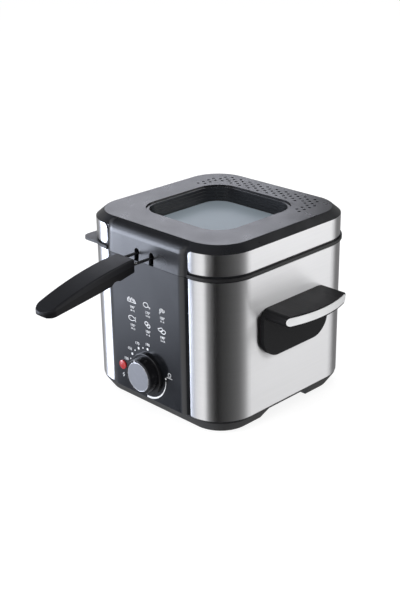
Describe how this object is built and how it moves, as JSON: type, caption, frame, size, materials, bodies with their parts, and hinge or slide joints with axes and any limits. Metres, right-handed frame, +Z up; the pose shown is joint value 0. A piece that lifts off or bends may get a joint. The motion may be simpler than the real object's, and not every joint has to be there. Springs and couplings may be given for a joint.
{
  "type": "deep fryer",
  "caption": "Compact deep fryer: steel body, lift-off lid with window and vents, wire basket on a long handle, temperature knob, side handles.",
  "frame": {"origin": "middle of the body's footprint, on the surface that the feet stand on", "axes": "+Z up, the control panel and the basket's handle face -Y, +X is the right side seen from the front"},
  "size_m": [0.2762, 0.334, 0.1962],
  "materials": {
    "brushed_steel": "satin stainless sheet with a fine grain brushed round the body",
    "trim_silver": "satin silver strip",
    "lid_plastic": "dark grey plastic, satin, finely grained",
    "panel_plastic": "dark slate-grey plastic, satin",
    "base_plastic": "black plastic, fine grain",
    "handle_plastic": "black plastic, fine grain",
    "grip_top_plastic": "dark grey plastic, satin",
    "grip_low_plastic": "black plastic",
    "knob_plastic": "black plastic",
    "knob_metal": "brushed disc",
    "plated_steel": "plated steel",
    "foot_rubber": "black rubber",
    "silicone": "dark silicone",
    "window_glass": "frosted grey-blue pane",
    "pot_coating": "dark non-stick coating",
    "element_steel": "dull heater tube",
    "switch_plastic": "phenolic housing",
    "copper_tube": "copper capillary",
    "terminal_plastic": "white terminal plastic",
    "lead_insulation": "silicone wire insulation",
    "lamp_red": "clear red lens",
    "lamp_housing": "white lamp holder",
    "liner_plastic": "black heat-resistant plastic",
    "filter_felt": "pale fleece pad",
    "panel_print": "white print on the panel and the knob's pointer",
    "basket_wire": "chromed steel wire"
  },
  "bodies": {
    "root": {"base_tray": "base_plastic", "foot_pads": "foot_rubber", "base_screws": "plated_steel", "body_wrap": "brushed_steel", "collar_frame": "base_plastic", "front_panel": "panel_plastic", "oil_pot": "pot_coating", "pot_seal": "silicone", "heating_element": "element_steel", "element_plate": "plated_steel", "plate_nuts": "plated_steel", "thermal_cutout": "element_steel", "thermostat": "switch_plastic", "sensor_tube": "copper_tube", "terminal_block": "terminal_plastic", "internal_leads": "lead_insulation", "lamp_lens": "lamp_red", "lamp_holder": "lamp_housing", "cord_gland": "foot_rubber", "side_handle_right": "handle_plastic", "side_handle_left": "handle_plastic", "handle_trim_right": "trim_silver", "handle_trim_left": "trim_silver", "handle_screws": "plated_steel"},
    "knob": {"knob_body": "knob_plastic", "knob_cap": "knob_metal", "thermostat_shaft": "plated_steel"},
    "basket": {"basket_mesh": "basket_wire", "basket_rim": "basket_wire", "basket_skids": "basket_wire", "basket_bracket": "basket_wire", "handle_wires": "basket_wire", "grip_upper": "grip_top_plastic", "grip_lower": "grip_low_plastic", "grip_screw": "plated_steel"},
    "lid": {"lid_shell": "lid_plastic", "lid_band": "brushed_steel", "lid_rim": "base_plastic", "lid_liner": "liner_plastic", "window_gasket": "silicone", "window_pane": "window_glass", "grease_filter": "filter_felt", "filter_cover": "liner_plastic", "lid_screws": "plated_steel"}
  },
  "joints": [
    {"name": "knob_turn", "type": "hinge", "parent": "root", "child": "knob", "pos_m": [0, -0.11, 0.0448], "axis": [0, -1, 0], "range_deg": [-19, 257]},
    {"name": "basket_lift", "type": "slide", "parent": "root", "child": "basket", "axis": [0, 0, 1], "range_m": [0, 0.15]},
    {"name": "lid_lift", "type": "slide", "parent": "basket", "child": "lid", "axis": [0, 0, 1], "range_m": [0, 0.12]}
  ]
}
